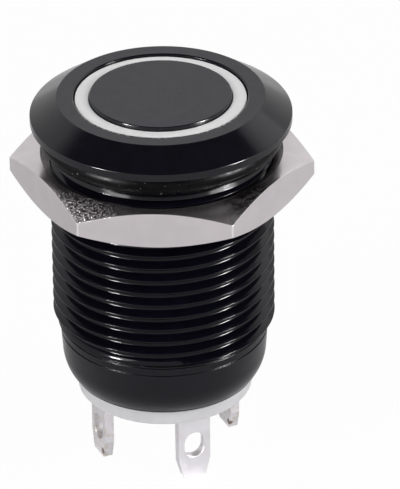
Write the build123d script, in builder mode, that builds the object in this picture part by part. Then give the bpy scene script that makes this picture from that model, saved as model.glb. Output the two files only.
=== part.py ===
from build123d import *
from math import cos, hypot, radians, sin, tan
import os

# Illuminated panel push button for a 12 mm hole: a turned metal body with a bevelled head, a lit
# ring round a flush button, a panel seal and nut, and four solder lugs out of a white base.
# Millimetres, +Z out of the panel, origin on the axis in the plane of the head's underside.

# ---------------------------------------------------------------- driving dimensions

# clearances
running_gap = 0.06        # radial, between parts that slide on each other
press_gap = 0.03          # between parts that are pushed or glued together
seal_gap = 0.02           # round a rubber ring at rest
stop_gap = 0.05           # left at the end of the button's travel

# turned body: head
head_overhang = 1.00      # radial, beyond the thread's crests
rim_w = 0.91              # flat rim between the bezel bore and the bevel
bevel_h = 0.99
band_h = 0.44             # upright edge below the bevel
band_chamfer = 0.05
bezel_chamfer = 0.10
bezel_land = 0.55         # depth of the bezel bore below the head's underside

# turned body: barrel
thread_r = 6.00           # over the crests
thread_pitch = 0.75
thread_depth = 0.44
thread_flat = 0.09        # width of a crest, and of a root
thread_land = 0.15        # full radius below the last root
thread_end = 12.10        # below the head
thread_lead_in = 0.35     # chamfer at each end of the thread
neck_step = 0.65          # radial, from the crests down to the neck that carries the seal
tail_step = 0.39          # radial, from the crests down to the plain tail
tail_wall = 0.76          # from the tail's outside to the barrel bore
tail_h = 1.75             # slightly tapered part of the tail
tail_taper = 0.08         # radial, over the tapered part
groove_drop = 0.45        # from the thread down to the second of two fine grooves in the tail
groove_w = 0.13
groove_depth = 0.06
roll_h = 1.47             # rolled end, below the tapered part
roll_in = 0.58            # radial, by which the rolled end closes
lip_h = 1.38              # height over which the bore closes with it
lip_in = 0.07
bezel_step = 0.20         # radial, from the barrel bore in to the bezel bore

# panel seal and nut
panel_seal_d = 1.21
nut_drop = 0.64           # from the seal to the nut
nut_h = 2.0
nut_gap = 0.03            # radial, over the thread's crests
nut_margin = 0.08         # of half the width across flats over the head's radius
nut_sink_share = 0.45     # share of the nut's wall that its countersink takes
nut_slope = 30            # degrees, of the bevelled corners and the countersink
nut_turn = -3.33          # angle of one corner from +X

# button
travel = 1.2
ring_w = 0.73             # of the lit ring round the button
cap_proud = 0.10          # button above the rim
cap_h = 3.1
cap_roof = 0.7
cap_wall = 0.7
cap_edge = 0.14
ring_sink = 0.02          # light ring below the rim
ring_edge = 0.13
ring_foot_gap = 0.05      # radial, between the ring's foot and the barrel bore

# plunger
button_seal_d = 0.66
flange_step = 0.25        # radial, from the cap in to the flange
flange_h = 0.5
stem_r = 1.5
stem_flat = 1.3           # half distance across the stem's two flats
spring_pocket_r = 2.4
spring_pocket_h = 1.4
plunger_chamfer = 0.2

# return spring
spring_wire = 0.3
spring_r = 1.95
spring_turns = 5.0

# retaining clip
clip_t = 0.3
clip_r = 2.15
clip_groove_depth = 0.4
clip_mouth = 1.7
clip_nose = 0.1           # rounding of the clip's two ends

# moving contact
window_drop = 0.95        # from the clip's underside to the top of the stem's window
window_h = 1.7
window_w = 1.66
window_floor = 0.5
bridge_t = 0.35
bridge_w = 1.5
bridge_len = 5.9
tip_offset = 2.35         # contact tips from the axis
tip_r = 0.45
moving_tip_h = 0.2
fixed_tip_h = 0.25
overtravel = 0.3          # travel left after the contacts close
contact_gap = 0.02
contact_spring_wire = 0.16
contact_spring_r = 0.45
contact_spring_turns = 4.0
contact_bore_r = 0.62
contact_bore_h = 0.55

# terminals
terminal_margin = 1.00    # from the middle of each strip out to the edge of the base
terminal_turn = 22.7      # first terminal from -Y towards +X
terminal_w = 1.86
terminal_t = 0.52
terminal_bend = 0.4
terminal_tip_w = 1.3
terminal_taper = 1.05
terminal_edge = 0.1
switch_lug_len = 3.90     # below the base
led_lug_len = 3.57
lug_hole_w = 1.14
lug_hole_h = 1.50
lug_hole_drop = 1.91      # from the base to the centre of the solder hole
pad_inner_r = 1.75
pad_gap = 0.08
led_post_h = 0.9          # LED terminals above the base

# white base
base_proud = 0.94         # below the metal body
lip_gap = 0.05            # radial, inside the rolled lip
base_edge = 0.12
resin_margin = 0.08       # outside the corners of the terminals
resin_h = 0.8
peg_r = 0.35
peg_h = 0.6
peg_inset = 0.33          # from the circle of the terminals in to the pegs
slot_gap = 0.03

# contact housing
guide_wall = 1.4
chamber_r = 2.4
chamber_w = 2.4
lead_groove_w = 0.7

# LED board
board_t = 0.6
board_hole_r = 2.45
board_edge_gap = 0.1
led_len = 1.6
led_w = 0.72
led_h = 0.5
led_chamfer = 0.08
resistor_h = 0.42
lead_d = 0.44
pocket_gap = 0.1
pocket_h = 0.75

# ---------------------------------------------------------------- levels and radii that follow

head_top = band_h + bevel_h
head_r = thread_r + head_overhang
neck_r = thread_r - neck_step
thread_start = panel_seal_d + thread_lead_in / 2
root_w = thread_pitch - thread_flat    # of one turn's groove, at the crests
last_root = thread_end - thread_lead_in - thread_land - root_w / 2
thread_turns = int((last_root - root_w / 2 - thread_start) / thread_pitch) + 1
tail_r = thread_r - tail_step
groove_top = thread_end + groove_drop
tail_round_top = thread_end + tail_h
body_end = tail_round_top + roll_h
tail_low_r = tail_r - tail_taper
body_end_r = tail_low_r - roll_in
barrel_bore_r = tail_r - tail_wall
lip_top = body_end - lip_h
lip_r = barrel_bore_r - lip_in
bezel_bore_r = barrel_bore_r - bezel_step
rim_r = bezel_bore_r + rim_w

nut_top = panel_seal_d + nut_drop
nut_bottom = nut_top + nut_h
nut_flats = 2 * (head_r + nut_margin)
nut_bore_r = thread_r + nut_gap
nut_sink_r = nut_bore_r + nut_sink_share * (nut_flats / 2 - nut_bore_r)

cap_r = bezel_bore_r - ring_w - 2 * running_gap
cap_top = head_top + cap_proud
cap_bottom = cap_top - cap_h
cap_ceiling = cap_top - cap_roof
cap_bore_r = cap_r - cap_wall
ring_bore_r = cap_r + running_gap
ring_top = head_top - ring_sink
ring_r = bezel_bore_r - running_gap
ring_foot_r = barrel_bore_r - ring_foot_gap

plunger_top = cap_ceiling - press_gap
plunger_r = cap_bore_r - press_gap
button_seal_r = ring_bore_r - seal_gap - button_seal_d / 2
flange_r = cap_r - flange_step
flange_top = cap_bottom - button_seal_d - 2 * seal_gap
flange_bottom = flange_top - flange_h
spring_top = flange_bottom + spring_pocket_h

board_top = flange_bottom - travel - stop_gap
housing_top = board_top - board_t
housing_r = ring_foot_r
guide_bottom = housing_top - guide_wall
clip_groove_r = stem_r - clip_groove_depth
clip_top = guide_bottom - press_gap
clip_bottom = clip_top - clip_t
window_top = clip_bottom - window_drop
window_bottom = window_top - window_h
stem_end = window_bottom - window_floor

bridge_top = window_bottom + bridge_t
moving_tip_end = window_bottom - moving_tip_h
fixed_tip_top = moving_tip_end - (travel - overtravel) - contact_gap
pad_top = fixed_tip_top - fixed_tip_h
base_top = pad_top - terminal_t - pad_gap
base_r = barrel_bore_r - press_gap
base_end = body_end + base_proud
base_end_r = lip_r - lip_gap
terminal_r = base_end_r - terminal_margin
resin_r = hypot(terminal_r + terminal_t / 2, terminal_w / 2) + resin_margin
peg_offset = terminal_r - peg_inset
lug_hole = base_end + lug_hole_drop
led_post_top = base_top + led_post_h
lead_r = terminal_r + terminal_t / 2 + press_gap + lead_d / 2
led_r = (ring_bore_r + ring_foot_r) / 2

switch_angles = [terminal_turn - 90, terminal_turn + 90]
led_angles = [terminal_turn, terminal_turn + 180]
between_angle = terminal_turn - 45     # halfway between two terminals


def level(z, angle=0):
    """Horizontal plane at height z whose local X points outward at the given angle."""
    return Plane(origin=(0, 0, z), x_dir=(cos(radians(angle)), sin(radians(angle)), 0), z_dir=(0, 0, 1))


def side(angle):
    """Upright plane through the axis: local X points outward at the angle, local Y up."""
    a = radians(angle)
    return Plane(origin=(0, 0, 0), x_dir=(cos(a), sin(a), 0), z_dir=(sin(a), -cos(a), 0))


def face_on(angle, distance=0):
    """Upright plane facing outward at the angle, the given distance from the axis, local Y up."""
    a = radians(angle)
    outward = (cos(a), sin(a), 0)
    return Plane(origin=Vector(outward) * distance, x_dir=(-sin(a), cos(a), 0), z_dir=outward)


def terminal_outline(top, lug_len):
    """Outline of a terminal strip seen face on: tapered tip and solder hole, up to a given height."""
    half, tip_half, tip = terminal_w / 2, terminal_tip_w / 2, -base_end - lug_len
    with BuildSketch() as outline:
        with BuildLine():
            Polyline(
                (half, top), (half, tip + terminal_taper), (tip_half, tip),
                (-tip_half, tip), (-half, tip + terminal_taper), (-half, top), close=True,
            )
        make_face()
        fillet(outline.vertices().group_by(Axis.Y)[0], radius=terminal_edge)
        with Locations((0, -lug_hole)):
            SlotOverall(lug_hole_h, lug_hole_w, rotation=90, mode=Mode.SUBTRACT)
    return outline.sketch


def ground_spring(radius, wire, turns, bottom, top):
    """Helical compression spring whose end coils are ground flat on its two seats."""
    length = top - bottom
    pitch = length / turns
    with BuildPart() as coil:
        with BuildLine() as path:
            Helix(pitch, length, radius, center=(0, 0, bottom))
        with BuildSketch(path.line ^ 0):
            Circle(wire / 2)
        sweep(is_frenet=True)
        split(bisect_by=Plane.XY.offset(top), keep=Keep.BOTTOM)
        split(bisect_by=Plane.XY.offset(bottom), keep=Keep.TOP)
    return coil


# ---------------------------------------------------------------- turned body

with BuildPart() as body_shell:
    with BuildSketch(Plane.XZ):
        with BuildLine():
            Polyline(
                (bezel_bore_r + bezel_chamfer, head_top),
                (rim_r, head_top),
                (head_r, band_h),
                (head_r, band_chamfer),
                (head_r - band_chamfer, 0),
                (neck_r, 0),
                (neck_r, -panel_seal_d),
                (thread_r, -thread_start),
                (thread_r, thread_lead_in - thread_end),
                (tail_r, -thread_end),
                (tail_r - groove_depth, -thread_end),
                (tail_r - groove_depth, -thread_end - groove_w),
                (tail_r, -thread_end - groove_w),
                (tail_r, -groove_top),
                (tail_r - groove_depth, -groove_top),
                (tail_r - groove_depth, -groove_top - groove_w),
                (tail_r, -groove_top - groove_w),
                (tail_low_r, -tail_round_top),
            )
            TangentArc(
                (tail_low_r, -tail_round_top),
                (body_end_r, -body_end),
                tangent=(-tail_taper, groove_top + groove_w - tail_round_top),
            )
            Polyline(
                (body_end_r, -body_end),
                (lip_r, -body_end),
                (barrel_bore_r, -lip_top),
                (barrel_bore_r, -bezel_land),
                (bezel_bore_r, -bezel_land),
                (bezel_bore_r, head_top - bezel_chamfer),
                (bezel_bore_r + bezel_chamfer, head_top),
            )
        make_face()
    revolve(axis=Axis.Z)
    # thread, cut as rings at its pitch
    with BuildSketch(Plane.XZ):
        with Locations(*[(thread_r, turn * thread_pitch - last_root) for turn in range(thread_turns)]):
            Polygon(
                (-thread_depth, -thread_flat / 2),
                (0, -root_w / 2),
                (0, root_w / 2),
                (-thread_depth, thread_flat / 2),
                align=None,
            )
    revolve(axis=Axis.Z, mode=Mode.SUBTRACT)
body_shell.part.label = "body_shell"

# ---------------------------------------------------------------- panel seal and nut

with BuildPart() as panel_seal:
    with BuildSketch(Plane.XZ):
        with Locations((neck_r + seal_gap + panel_seal_d / 2, -seal_gap - panel_seal_d / 2)):
            Circle(panel_seal_d / 2)
    revolve(axis=Axis.Z)
panel_seal.part.label = "panel_seal"

with BuildPart() as hex_nut:
    corner_r = nut_flats / 2 / cos(radians(180 / 6))
    corner_drop = (corner_r - nut_flats / 2) * tan(radians(nut_slope))
    sink_drop = (nut_sink_r - nut_bore_r) * tan(radians(nut_slope))
    with BuildSketch(level(-nut_bottom, nut_turn)):
        RegularPolygon(radius=corner_r, side_count=6)
    extrude(amount=nut_h)
    # turned profile: bevelled corners outside, countersunk bore inside
    with BuildSketch(Plane.XZ):
        with BuildLine():
            Polyline(
                (nut_bore_r, -nut_top - sink_drop),
                (nut_sink_r, -nut_top),
                (nut_flats / 2, -nut_top),
                (corner_r, -nut_top - corner_drop),
                (corner_r, -nut_bottom + corner_drop),
                (nut_flats / 2, -nut_bottom),
                (nut_sink_r, -nut_bottom),
                (nut_bore_r, -nut_bottom + sink_drop),
                close=True,
            )
        make_face()
    revolve(axis=Axis.Z, mode=Mode.INTERSECT)
hex_nut.part.label = "hex_nut"

# ---------------------------------------------------------------- button, light ring and plunger

with BuildPart() as button_cap:
    with BuildSketch(level(cap_bottom)):
        Circle(cap_r)
    extrude(amount=cap_h)
    with BuildSketch(level(cap_bottom)):
        Circle(cap_bore_r)
    extrude(amount=cap_h - cap_roof, mode=Mode.SUBTRACT)
    chamfer(button_cap.faces().sort_by(Axis.Z)[-1].edges(), length=cap_edge)
button_cap.part.label = "button_cap"

with BuildPart() as light_ring:
    with BuildSketch(Plane.XZ):
        with BuildLine():
            Polyline(
                (ring_bore_r, board_top),
                (ring_foot_r, board_top),
                (ring_foot_r, -bezel_land - press_gap),
                (ring_r, -bezel_land - press_gap),
                (ring_r, ring_top - ring_edge),
                (ring_r - ring_edge, ring_top),
                (ring_bore_r, ring_top),
                close=True,
            )
        make_face()
    revolve(axis=Axis.Z)
    # pockets in the foot for the parts on the board
    for angle in [*switch_angles, between_angle]:
        with BuildSketch(level(board_top, angle)):
            with Locations((led_r, 0)):
                Rectangle(2 * (ring_foot_r - ring_bore_r), led_len + 2 * pocket_gap)
        extrude(amount=pocket_h, mode=Mode.SUBTRACT)
light_ring.part.label = "light_ring"

with BuildPart() as plunger:
    # head in the cap, with the flange that backs the button's seal
    with BuildSketch(level(flange_bottom)):
        Circle(flange_r)
    extrude(amount=flange_h)
    with BuildSketch(level(flange_top)):
        Circle(plunger_r)
    extrude(amount=plunger_top - flange_top)
    chamfer(plunger.faces().sort_by(Axis.Z)[-1].edges(), length=plunger_chamfer)
    # pocket for the return spring round the stem
    with BuildSketch(level(flange_bottom)):
        Circle(spring_pocket_r)
    extrude(amount=spring_pocket_h, mode=Mode.SUBTRACT)
    # stem with two flats that keep it from turning
    with BuildSketch(level(spring_top, switch_angles[0])):
        Circle(stem_r)
        Rectangle(2 * stem_r, 2 * stem_flat, mode=Mode.INTERSECT)
    extrude(amount=stem_end - spring_top)
    # groove for the retaining clip
    with BuildSketch(level(clip_bottom - press_gap)):
        Circle(2 * stem_r)
        Circle(clip_groove_r, mode=Mode.SUBTRACT)
    extrude(amount=clip_t + 2 * press_gap, mode=Mode.SUBTRACT)
    # cross window for the contact bridge, and the blind bore of its spring above
    with BuildSketch(side(switch_angles[0] + 90)):
        with Locations((0, (window_top + window_bottom) / 2)):
            Rectangle(window_w, window_h)
    extrude(amount=2 * stem_r, both=True, mode=Mode.SUBTRACT)
    with BuildSketch(level(window_top)):
        Circle(contact_bore_r)
    extrude(amount=contact_bore_h, mode=Mode.SUBTRACT)
plunger.part.label = "plunger"

with BuildPart() as button_seal:
    with BuildSketch(Plane.XZ):
        with Locations((button_seal_r, cap_bottom - seal_gap - button_seal_d / 2)):
            Circle(button_seal_d / 2)
    revolve(axis=Axis.Z)
button_seal.part.label = "button_seal"

return_spring = ground_spring(spring_r, spring_wire, spring_turns, housing_top, spring_top)
return_spring.part.label = "return_spring"

with BuildPart() as retaining_clip:
    with BuildSketch(level(clip_bottom, switch_angles[0])):
        Circle(clip_r)
        Circle(clip_groove_r + press_gap, mode=Mode.SUBTRACT)
        with Locations((clip_r, 0)):
            Rectangle(2 * clip_r, clip_mouth, mode=Mode.SUBTRACT)
    extrude(amount=clip_t)
    fillet(retaining_clip.edges().filter_by(Axis.Z).group_by(SortBy.DISTANCE)[-1], radius=clip_nose)
retaining_clip.part.label = "retaining_clip"

# ---------------------------------------------------------------- moving contact

with BuildPart() as contact_bridge:
    with BuildSketch(level(window_bottom, switch_angles[0])):
        SlotOverall(bridge_len, bridge_w)
    extrude(amount=bridge_t)
contact_bridge.part.label = "contact_bridge"

with BuildPart() as bridge_tips:
    with BuildSketch(level(window_bottom, switch_angles[0])):
        with Locations((tip_offset, 0), (-tip_offset, 0)):
            Circle(tip_r)
    extrude(amount=-moving_tip_h)
    chamfer(bridge_tips.faces().group_by(Axis.Z)[0].edges(), length=moving_tip_h / 2)
bridge_tips.part.label = "bridge_tips"

contact_spring = ground_spring(
    contact_spring_r, contact_spring_wire, contact_spring_turns, bridge_top, window_top + contact_bore_h
)
contact_spring.part.label = "contact_spring"

# ---------------------------------------------------------------- terminals


def switch_terminal(angle):
    """Strip that rises through the base and bends inward into a contact pad."""
    pad_mid = pad_top - terminal_t / 2
    with BuildPart() as strip:
        with BuildSketch(side(angle)):
            with BuildLine():
                FilletPolyline(
                    (terminal_r, -base_end - switch_lug_len),
                    (terminal_r, pad_mid),
                    (pad_inner_r, pad_mid),
                    radius=terminal_bend,
                )
            trace(line_width=terminal_t)
        extrude(amount=terminal_w / 2, both=True)
        with BuildSketch(face_on(angle)):
            add(terminal_outline(pad_top, switch_lug_len))
        extrude(amount=terminal_r + terminal_t, mode=Mode.INTERSECT)
    return strip


def led_terminal(angle):
    """Straight strip through the base, with its head soldered to a lead of the LED board."""
    with BuildPart() as strip:
        with BuildSketch(face_on(angle, terminal_r - terminal_t / 2)):
            add(terminal_outline(led_post_top, led_lug_len))
        extrude(amount=terminal_t)
    return strip


def fixed_tip(angle):
    """Silver tip on a terminal's contact pad."""
    with BuildPart() as tip:
        with BuildSketch(level(pad_top, angle)):
            with Locations((tip_offset, 0)):
                Circle(tip_r)
        extrude(amount=fixed_tip_h)
        chamfer(tip.faces().sort_by(Axis.Z)[-1].edges(), length=fixed_tip_h / 3)
    return tip


switch_terminals = {}
fixed_tips = {}
for name, angle in zip(["common", "normally_open"], switch_angles):
    switch_terminals[name] = switch_terminal(angle)
    switch_terminals[name].part.label = f"{name}_terminal"
    fixed_tips[name] = fixed_tip(angle)
    fixed_tips[name].part.label = f"{name}_tip"

led_terminals = {}
for name, angle in zip(["plus", "minus"], led_angles):
    led_terminals[name] = led_terminal(angle)
    led_terminals[name].part.label = f"led_{name}_terminal"

# ---------------------------------------------------------------- white base and its seal

terminal_angles = [*switch_angles, *led_angles]

with BuildPart() as terminal_base:
    with BuildSketch(Plane.XZ):
        with BuildLine():
            Polyline(
                (0, base_top),
                (base_r, base_top),
                (base_r, -lip_top),
                (base_end_r, -body_end),
                (base_end_r, base_edge - base_end),
                (base_end_r - base_edge, -base_end),
                (0, -base_end),
                close=True,
            )
        make_face()
    revolve(axis=Axis.Z)
    # recess for the sealing resin
    with BuildSketch(level(-base_end)):
        Circle(resin_r)
    extrude(amount=resin_h, mode=Mode.SUBTRACT)
    # slots for the four terminals
    for angle in terminal_angles:
        with BuildSketch(level(-base_end, angle)):
            with Locations((terminal_r, 0)):
                Rectangle(terminal_t + 2 * slot_gap, terminal_w + 2 * slot_gap)
        extrude(amount=base_end + base_top, mode=Mode.SUBTRACT)
    # two pegs that locate the housing
    with BuildSketch(level(base_top, between_angle)):
        with Locations((peg_offset, 0), (-peg_offset, 0)):
            Circle(peg_r)
    extrude(amount=peg_h)
terminal_base.part.label = "terminal_base"

with BuildPart() as sealing_resin:
    with BuildSketch(level(-base_end)):
        Circle(resin_r - seal_gap)
    extrude(amount=resin_h - seal_gap)
    for angle in terminal_angles:
        with BuildSketch(level(-base_end, angle)):
            with Locations((terminal_r, 0)):
                Rectangle(terminal_t + 2 * seal_gap, terminal_w + 2 * seal_gap)
        extrude(amount=resin_h, mode=Mode.SUBTRACT)
sealing_resin.part.label = "sealing_resin"

# ---------------------------------------------------------------- contact housing

with BuildPart() as contact_housing:
    with BuildSketch(level(base_top)):
        Circle(housing_r)
    extrude(amount=housing_top - base_top)
    # guide for the plunger's stem, matching its flats
    with BuildSketch(level(guide_bottom, switch_angles[0])):
        Circle(stem_r + running_gap)
        Rectangle(2 * (stem_r + running_gap), 2 * (stem_flat + running_gap), mode=Mode.INTERSECT)
    extrude(amount=guide_wall, mode=Mode.SUBTRACT)
    # contact chamber, open at the bottom
    with BuildSketch(level(base_top, switch_angles[0])):
        Circle(chamber_r)
        Rectangle(2 * (terminal_r + terminal_t / 2 + pocket_gap), chamber_w)
    extrude(amount=guide_bottom - base_top, mode=Mode.SUBTRACT)
    for angle in led_angles:
        # pocket for the head of an LED terminal
        with BuildSketch(level(base_top, angle)):
            with Locations((terminal_r, 0)):
                Rectangle(terminal_t + 2 * pocket_gap, terminal_w + 2 * pocket_gap)
        extrude(amount=led_post_h + pocket_gap, mode=Mode.SUBTRACT)
        # groove for its lead, up the outside
        with BuildSketch(level(base_top, angle)):
            with Locations((housing_r, 0)):
                Rectangle(2 * (housing_r - lead_r) + lead_groove_w, lead_groove_w)
        extrude(amount=housing_top - base_top, mode=Mode.SUBTRACT)
    # sockets for the base's pegs
    with BuildSketch(level(base_top, between_angle)):
        with Locations((peg_offset, 0), (-peg_offset, 0)):
            Circle(peg_r + press_gap)
    extrude(amount=peg_h + press_gap, mode=Mode.SUBTRACT)
contact_housing.part.label = "contact_housing"

# ---------------------------------------------------------------- LED board

with BuildPart() as led_board:
    with BuildSketch(level(housing_top)):
        Circle(barrel_bore_r - board_edge_gap)
        Circle(board_hole_r, mode=Mode.SUBTRACT)
        for angle in led_angles:
            with Locations((lead_r * cos(radians(angle)), lead_r * sin(radians(angle)))):
                Circle(lead_d / 2 + press_gap, mode=Mode.SUBTRACT)
    extrude(amount=board_t)
led_board.part.label = "led_board"


def board_chip(angle, height, corner):
    """Small surface-mounted block on the board, under the light ring."""
    with BuildPart() as chip:
        with BuildSketch(level(board_top, angle)):
            with Locations((led_r, 0)):
                Rectangle(led_w, led_len)
        extrude(amount=height)
        chamfer(chip.faces().sort_by(Axis.Z)[-1].edges(), length=corner)
    return chip


leds = [board_chip(angle, led_h, led_chamfer) for angle in switch_angles]
for led, letter in zip(leds, "ab"):
    led.part.label = f"led_{letter}"

resistor = board_chip(between_angle, resistor_h, led_chamfer / 2)
resistor.part.label = "resistor"

leads = {}
for name, angle in zip(["plus", "minus"], led_angles):
    with BuildPart() as lead:
        with BuildSketch(level(base_top + pocket_gap, angle)):
            with Locations((lead_r, 0)):
                Circle(lead_d / 2)
        extrude(amount=board_top - base_top - 2 * pocket_gap)
    lead.part.label = f"led_{name}_lead"
    leads[name] = lead

# ---------------------------------------------------------------- write one file for each piece

pieces = [
    body_shell,
    panel_seal,
    hex_nut,
    button_cap,
    light_ring,
    plunger,
    button_seal,
    return_spring,
    retaining_clip,
    contact_bridge,
    bridge_tips,
    contact_spring,
    *switch_terminals.values(),
    *fixed_tips.values(),
    *led_terminals.values(),
    terminal_base,
    sealing_resin,
    contact_housing,
    led_board,
    *leds,
    resistor,
    *leads.values(),
]

os.makedirs("parts", exist_ok=True)
for piece in pieces:
    export_step(piece.part, f"parts/{piece.part.label}.step")
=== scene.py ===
"""Dress the illuminated push button switch: true thread, rounded edges, springs, finishes and stage."""
import math

import bmesh
import bpy
from bpy.props import FloatProperty, FloatVectorProperty, IntProperty, PointerProperty
from bpy.types import Operator, Panel, PropertyGroup
from mathutils import Matrix, Vector


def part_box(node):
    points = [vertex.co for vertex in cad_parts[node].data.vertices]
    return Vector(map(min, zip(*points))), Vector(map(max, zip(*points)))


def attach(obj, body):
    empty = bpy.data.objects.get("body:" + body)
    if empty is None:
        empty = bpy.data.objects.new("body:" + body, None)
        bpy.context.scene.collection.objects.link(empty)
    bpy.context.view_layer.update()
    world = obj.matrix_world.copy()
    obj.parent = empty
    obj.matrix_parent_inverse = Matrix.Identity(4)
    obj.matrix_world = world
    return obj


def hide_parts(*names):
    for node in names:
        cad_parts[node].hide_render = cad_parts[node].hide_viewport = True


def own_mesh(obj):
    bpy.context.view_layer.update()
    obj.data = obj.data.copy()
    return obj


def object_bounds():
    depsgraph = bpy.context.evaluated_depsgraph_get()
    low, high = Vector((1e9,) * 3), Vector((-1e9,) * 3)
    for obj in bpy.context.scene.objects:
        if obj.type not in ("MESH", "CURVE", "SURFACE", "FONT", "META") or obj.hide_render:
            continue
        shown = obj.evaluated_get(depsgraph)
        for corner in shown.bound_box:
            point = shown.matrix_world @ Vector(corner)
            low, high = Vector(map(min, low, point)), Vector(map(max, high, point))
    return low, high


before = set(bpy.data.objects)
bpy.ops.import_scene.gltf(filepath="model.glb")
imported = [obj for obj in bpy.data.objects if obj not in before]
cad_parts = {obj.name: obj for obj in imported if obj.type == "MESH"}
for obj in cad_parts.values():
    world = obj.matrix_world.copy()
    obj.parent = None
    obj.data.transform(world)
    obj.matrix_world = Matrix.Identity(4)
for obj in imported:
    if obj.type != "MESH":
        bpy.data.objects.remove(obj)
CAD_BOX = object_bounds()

bl_info = {
    "name": "Push button switch",
    "version": (1, 0, 0),
    "blender": (4, 5, 0),
    "location": "View3D > Sidebar > Push switch",
    "description": "Builds the visible pieces and finishes of a lit panel push button",
    "category": "Object",
}

MM = 0.001
TINY = 1e-7  # metres: points closer than this are one point
HALF_SIDE = math.radians(30)  # from a hexagon's corner to the middle of a side
LATHE_STEPS = 160
SEAL_SIDES = 40
COLOUR_A, COLOUR_B, COLOUR_OUT = 6, 7, 2  # sockets of a Mix node that mixes colours
NUMBER_A, NUMBER_B = 2, 3  # sockets of a Mix node that mixes numbers


# ---------------------------------------------------------------- sizes and colours

def length(name, description, mm):
    """A length given in millimetres."""
    return FloatProperty(name=name, description=description, default=mm * MM, precision=5, unit="LENGTH")


def point(name, description, mm):
    """A point given in millimetres."""
    return FloatVectorProperty(
        name=name, description=description, default=tuple(Vector(mm) * MM), precision=5, unit="LENGTH"
    )


def angle(name, description, degrees):
    """An angle given in degrees."""
    return FloatProperty(name=name, description=description, default=math.radians(degrees), unit="ROTATION")


def coils(name, description, count):
    """The number of turns of a spring."""
    return FloatProperty(name=name, description=description, default=count, min=2)


def colour(name, description, rgb):
    """A colour in linear red, green and blue."""
    return FloatVectorProperty(
        name=name, description=description, default=rgb, min=0, max=1, size=3, subtype="COLOR"
    )


def share(name, description, value):
    """A part of one."""
    return FloatProperty(name=name, description=description, default=value, min=0, max=1, subtype="FACTOR")


def brightness(name, description, value):
    """A strength of light, where one is white."""
    return FloatProperty(name=name, description=description, default=value, min=0)


def watts(name, description, value):
    """The power of a lamp."""
    return FloatProperty(name=name, description=description, default=value, min=0, unit="POWER")


class BodySizes(PropertyGroup):
    """Turned body with its head, thread and rolled tail"""

    rim_r: length("Rim radius", "Outer edge of the flat rim", 5.56)
    band_h: length("Band height", "Upright edge below the bevel", 0.44)
    band_chamfer: length("Band chamfer", "Broken edge under the band", 0.05)
    edge_round: length("Edge rounding", "Rounding of the turned edges", 0.05)
    bezel_r: length("Bezel bore", "Radius of the bore round the lit ring", 4.65)
    bezel_chamfer: length("Bezel chamfer", "Height of the chamfer at the top of the bore", 0.05)
    bezel_flare: length("Bezel flare", "Radial width of that chamfer", 0.07)
    bezel_land: length("Bezel land", "Depth of the bezel bore below the head", 0.55)
    bore_r: length("Barrel bore", "Radius of the bore of the barrel", 4.85)
    neck_r: length("Neck radius", "Plain neck that carries the seal", 5.35)
    neck_h: length("Neck height", "Height of the plain neck", 1.21)
    thread_r: length("Thread radius", "Radius over the thread's crests", 6.00)
    thread_end: length("Thread end", "Depth of the thread's last turn below the head", 12.10)
    lead_top: length("Upper lead-in", "Height of the polished cone above the first turn", 0.45)
    lead_step: length("Upper lead-in step", "Radial depth of that cone", 0.33)
    lead_in: length("Lower lead-in", "Chamfer at the thread's lower end", 0.35)
    pitch: length("Pitch", "Rise of the thread in one turn", 0.75)
    thread_depth: length("Thread depth", "From the crests to the roots", 0.44)
    crest: length("Crest", "Width of the flat crest", 0.06)
    crest_round: length("Crest rounding", "Rounding of the crest's two edges", 0.03)
    root_round: length("Root rounding", "Rounding of the thread's root", 0.11)
    thread_start: angle("Thread start", "Turn of the thread's first crest", 106.8)
    tail_r: length("Tail radius", "Plain tail behind the thread", 5.61)
    tail_low_r: length("Tail foot", "Radius where the rolled end starts", 5.53)
    groove_top: length("Groove top", "Top of the second fine groove in the tail", 12.55)
    groove_w: length("Groove width", "Width of the fine grooves", 0.13)
    groove_depth: length("Groove depth", "Depth of the fine grooves", 0.06)
    roll_top: length("Roll top", "Where the rolled end starts to curve in", 13.85)
    roll_r: length("Roll radius", "Radius at the end of the rolled lip", 4.95)
    lip_r: length("Lip bore", "Bore of the rolled lip", 4.78)
    lip_top: length("Lip top", "Where the bore starts to close in", 13.94)
    steps: IntProperty(name="Steps round", description="Faces round the body", default=180, min=48)


class FittingSizes(PropertyGroup):
    """Seal, nut and button"""

    seal_d: length("Seal thickness", "Section diameter of the rubber seal", 1.21)
    seal_r: length("Seal radius", "Radius to the middle of the seal's section", 5.975)
    nut_sink_r: length("Countersink radius", "Outer edge of the nut's countersink", 6.50)
    nut_bore_r: length("Nut bore", "Radius of the nut's bore", 6.03)
    nut_slope: angle("Nut slope", "Slope of the nut's bevelled corners and countersink", 30)
    nut_turn: angle("Nut turn", "Turn of one corner from the X axis", -3.33)
    nut_corner: length("Corner rounding", "Rounding of the nut's upright corners", 0.10)
    nut_edge: length("Edge rounding", "Rounding between the nut's bevels and flats", 0.007)
    cap_round: length("Button edge", "Rounding of the button's top edge", 0.07)
    ring_middle: length("Ring middle", "Radius that parts the ring's two upper edges", 4.2)
    ring_outer: length("Ring outer", "Radius of the ring's upper outer edge", 4.57)
    ring_drop: length("Ring drop", "Further sink of the lit ring below the rim", 0.10)
    cap_wall: length("Button wall", "Thickness of the button's wall and roof", 0.7)
    spring_wire: length("Return spring wire", "Diameter of the return spring's wire", 0.3)
    spring_turns: coils("Return spring turns", "Turns of the return spring", 5)
    contact_wire: length("Contact spring wire", "Diameter of the contact spring's wire", 0.16)
    contact_turns: coils("Contact spring turns", "Turns of the contact spring", 4)


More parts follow.
